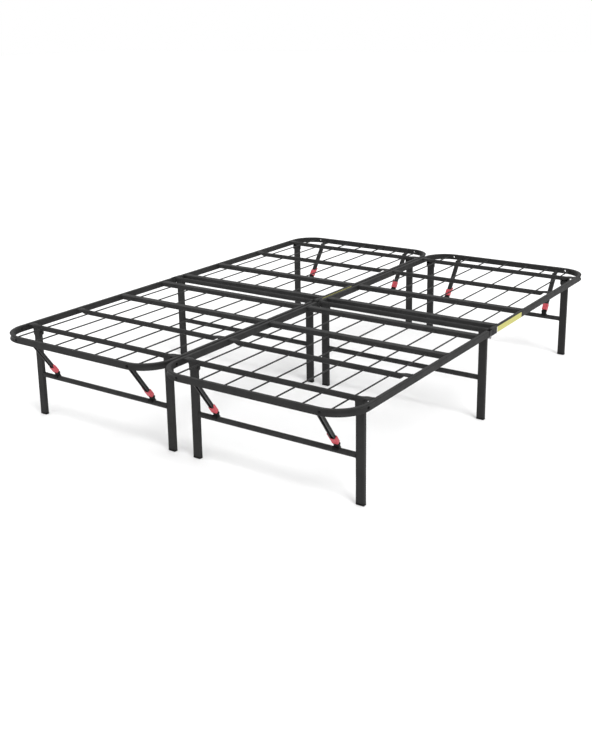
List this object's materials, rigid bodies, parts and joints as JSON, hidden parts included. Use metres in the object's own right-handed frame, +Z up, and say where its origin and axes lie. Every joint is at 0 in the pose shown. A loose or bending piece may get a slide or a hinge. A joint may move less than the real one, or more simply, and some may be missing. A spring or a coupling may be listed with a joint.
{
  "type": "folding metal bed frame",
  "caption": "Folding steel platform bed frame: two side-by-side hinged units with tube and rod decks, hinged leg frames, and braces with sliding clips.",
  "frame": {"origin": "on the floor at the middle of the bed's footprint", "axes": "+Y from the near end to the far end along the bed, +X across the bed, +Z up"},
  "size_m": [1.524, 2.032, 0.3556],
  "materials": {
    "powder_coated_steel": "satin charcoal powder coat",
    "black_plastic": "matte moulded black",
    "red_plastic": "semi-gloss moulded red",
    "yellow_label": "plain matte printed film with no text"
  },
  "bodies": {
    "near_halves": {"left_near_rim": "powder_coated_steel", "left_near_deck": "powder_coated_steel", "left_near_pivot_tube": "powder_coated_steel", "right_near_rim": "powder_coated_steel", "right_near_deck": "powder_coated_steel", "right_near_pivot_tube": "powder_coated_steel"},
    "left_far_half": {"left_far_rim": "powder_coated_steel", "left_far_deck": "powder_coated_steel", "left_far_pivot_tube": "powder_coated_steel", "left_middle_pivot_tube": "powder_coated_steel", "left_label": "yellow_label"},
    "left_near_leg_frame": {"left_near_legs": "powder_coated_steel", "left_near_foot_left": "black_plastic", "left_near_foot_right": "black_plastic"},
    "left_middle_leg_frame": {"left_middle_legs": "powder_coated_steel", "left_middle_foot_left": "black_plastic", "left_middle_foot_right": "black_plastic"},
    "left_far_leg_frame": {"left_far_legs": "powder_coated_steel", "left_far_foot_left": "black_plastic", "left_far_foot_right": "black_plastic"},
    "left_near_left_brace_arm": {"left_near_left_brace": "powder_coated_steel", "left_near_left_hook": "black_plastic"},
    "left_near_left_lock": {"left_near_left_clip": "red_plastic"},
    "left_near_right_brace_arm": {"left_near_right_brace": "powder_coated_steel", "left_near_right_hook": "black_plastic"},
    "left_near_right_lock": {"left_near_right_clip": "red_plastic"},
    "left_far_left_brace_arm": {"left_far_left_brace": "powder_coated_steel", "left_far_left_hook": "black_plastic"},
    "left_far_left_lock": {"left_far_left_clip": "red_plastic"},
    "left_far_right_brace_arm": {"left_far_right_brace": "powder_coated_steel", "left_far_right_hook": "black_plastic"},
    "left_far_right_lock": {"left_far_right_clip": "red_plastic"},
    "right_far_half": {"right_far_rim": "powder_coated_steel", "right_far_deck": "powder_coated_steel", "right_far_pivot_tube": "powder_coated_steel", "right_middle_pivot_tube": "powder_coated_steel", "right_label": "yellow_label"},
    "right_near_leg_frame": {"right_near_legs": "powder_coated_steel", "right_near_foot_left": "black_plastic", "right_near_foot_right": "black_plastic"},
    "right_middle_leg_frame": {"right_middle_legs": "powder_coated_steel", "right_middle_foot_left": "black_plastic", "right_middle_foot_right": "black_plastic"},
    "right_far_leg_frame": {"right_far_legs": "powder_coated_steel", "right_far_foot_left": "black_plastic", "right_far_foot_right": "black_plastic"},
    "right_near_left_brace_arm": {"right_near_left_brace": "powder_coated_steel", "right_near_left_hook": "black_plastic"},
    "right_near_left_lock": {"right_near_left_clip": "red_plastic"},
    "right_near_right_brace_arm": {"right_near_right_brace": "powder_coated_steel", "right_near_right_hook": "black_plastic"},
    "right_near_right_lock": {"right_near_right_clip": "red_plastic"},
    "right_far_left_brace_arm": {"right_far_left_brace": "powder_coated_steel", "right_far_left_hook": "black_plastic"},
    "right_far_left_lock": {"right_far_left_clip": "red_plastic"},
    "right_far_right_brace_arm": {"right_far_right_brace": "powder_coated_steel", "right_far_right_hook": "black_plastic"},
    "right_far_right_lock": {"right_far_right_clip": "red_plastic"}
  },
  "joints": [
    {"name": "left_fold", "type": "hinge", "parent": "near_halves", "child": "left_far_half", "pos_m": [-0.3815, -0.047, 0.331], "axis": [-1, 0, 0], "range_deg": [0, 176]},
    {"name": "left_near_legs_fold", "type": "hinge", "parent": "near_halves", "child": "left_near_leg_frame", "pos_m": [-0.3815, -0.8644, 0.3286], "axis": [1, 0, 0], "range_deg": [0, 90]},
    {"name": "left_middle_legs_fold", "type": "hinge", "parent": "left_far_half", "child": "left_middle_leg_frame", "pos_m": [-0.3815, -0.025, 0.3286], "axis": [1, 0, 0], "range_deg": [0, 90]},
    {"name": "left_far_legs_fold", "type": "hinge", "parent": "left_far_half", "child": "left_far_leg_frame", "pos_m": [-0.3815, 0.8644, 0.3286], "axis": [-1, 0, 0], "range_deg": [0, 90]},
    {"name": "left_near_left_brace_swing", "type": "hinge", "parent": "near_halves", "child": "left_near_left_brace_arm", "pos_m": [-0.6195, -0.9715, 0.331], "axis": [1, 0, 0], "range_deg": [0, 53]},
    {"name": "left_near_left_clip_slide", "type": "slide", "parent": "left_near_left_brace_arm", "child": "left_near_left_lock", "axis": [0, -0.5878, 0.809], "range_m": [0, 0.018]},
    {"name": "left_near_right_brace_swing", "type": "hinge", "parent": "near_halves", "child": "left_near_right_brace_arm", "pos_m": [-0.1435, -0.9715, 0.331], "axis": [1, 0, 0], "range_deg": [0, 53]},
    {"name": "left_near_right_clip_slide", "type": "slide", "parent": "left_near_right_brace_arm", "child": "left_near_right_lock", "axis": [0, -0.5878, 0.809], "range_m": [0, 0.018]},
    {"name": "left_far_left_brace_swing", "type": "hinge", "parent": "left_far_half", "child": "left_far_left_brace_arm", "pos_m": [-0.6195, 0.9715, 0.331], "axis": [-1, 0, 0], "range_deg": [0, 53]},
    {"name": "left_far_left_clip_slide", "type": "slide", "parent": "left_far_left_brace_arm", "child": "left_far_left_lock", "axis": [0, 0.5878, 0.809], "range_m": [0, 0.018]},
    {"name": "left_far_right_brace_swing", "type": "hinge", "parent": "left_far_half", "child": "left_far_right_brace_arm", "pos_m": [-0.1435, 0.9715, 0.331], "axis": [-1, 0, 0], "range_deg": [0, 53]},
    {"name": "left_far_right_clip_slide", "type": "slide", "parent": "left_far_right_brace_arm", "child": "left_far_right_lock", "axis": [0, 0.5878, 0.809], "range_m": [0, 0.018]},
    {"name": "right_fold", "type": "hinge", "parent": "near_halves", "child": "right_far_half", "pos_m": [0.3815, -0.047, 0.331], "axis": [-1, 0, 0], "range_deg": [0, 176]},
    {"name": "right_near_legs_fold", "type": "hinge", "parent": "near_halves", "child": "right_near_leg_frame", "pos_m": [0.3815, -0.8644, 0.3286], "axis": [1, 0, 0], "range_deg": [0, 90]},
    {"name": "right_middle_legs_fold", "type": "hinge", "parent": "right_far_half", "child": "right_middle_leg_frame", "pos_m": [0.3815, -0.025, 0.3286], "axis": [1, 0, 0], "range_deg": [0, 90]},
    {"name": "right_far_legs_fold", "type": "hinge", "parent": "right_far_half", "child": "right_far_leg_frame", "pos_m": [0.3815, 0.8644, 0.3286], "axis": [-1, 0, 0], "range_deg": [0, 90]},
    {"name": "right_near_left_brace_swing", "type": "hinge", "parent": "near_halves", "child": "right_near_left_brace_arm", "pos_m": [0.1435, -0.9715, 0.331], "axis": [1, 0, 0], "range_deg": [0, 53]},
    {"name": "right_near_left_clip_slide", "type": "slide", "parent": "right_near_left_brace_arm", "child": "right_near_left_lock", "axis": [0, -0.5878, 0.809], "range_m": [0, 0.018]},
    {"name": "right_near_right_brace_swing", "type": "hinge", "parent": "near_halves", "child": "right_near_right_brace_arm", "pos_m": [0.6195, -0.9715, 0.331], "axis": [1, 0, 0], "range_deg": [0, 53]},
    {"name": "right_near_right_clip_slide", "type": "slide", "parent": "right_near_right_brace_arm", "child": "right_near_right_lock", "axis": [0, -0.5878, 0.809], "range_m": [0, 0.018]},
    {"name": "right_far_left_brace_swing", "type": "hinge", "parent": "right_far_half", "child": "right_far_left_brace_arm", "pos_m": [0.1435, 0.9715, 0.331], "axis": [-1, 0, 0], "range_deg": [0, 53]},
    {"name": "right_far_left_clip_slide", "type": "slide", "parent": "right_far_left_brace_arm", "child": "right_far_left_lock", "axis": [0, 0.5878, 0.809], "range_m": [0, 0.018]},
    {"name": "right_far_right_brace_swing", "type": "hinge", "parent": "right_far_half", "child": "right_far_right_brace_arm", "pos_m": [0.6195, 0.9715, 0.331], "axis": [-1, 0, 0], "range_deg": [0, 53]},
    {"name": "right_far_right_clip_slide", "type": "slide", "parent": "right_far_right_brace_arm", "child": "right_far_right_lock", "axis": [0, 0.5878, 0.809], "range_m": [0, 0.018]}
  ],
  "couplings": [
    {"joint": "left_near_legs_fold", "follows": "left_fold", "ratio": 0.511},
    {"joint": "left_middle_legs_fold", "follows": "left_fold", "ratio": 0.511},
    {"joint": "left_far_legs_fold", "follows": "left_fold", "ratio": 0.511},
    {"joint": "left_near_left_brace_swing", "follows": "left_fold", "ratio": 0.3011},
    {"joint": "left_near_right_brace_swing", "follows": "left_fold", "ratio": 0.3011},
    {"joint": "left_far_left_brace_swing", "follows": "left_fold", "ratio": 0.3011},
    {"joint": "left_far_right_brace_swing", "follows": "left_fold", "ratio": 0.3011},
    {"joint": "right_near_legs_fold", "follows": "right_fold", "ratio": 0.511},
    {"joint": "right_middle_legs_fold", "follows": "right_fold", "ratio": 0.511},
    {"joint": "right_far_legs_fold", "follows": "right_fold", "ratio": 0.511},
    {"joint": "right_near_left_brace_swing", "follows": "right_fold", "ratio": 0.3011},
    {"joint": "right_near_right_brace_swing", "follows": "right_fold", "ratio": 0.3011},
    {"joint": "right_far_left_brace_swing", "follows": "right_fold", "ratio": 0.3011},
    {"joint": "right_far_right_brace_swing", "follows": "right_fold", "ratio": 0.3011}
  ]
}
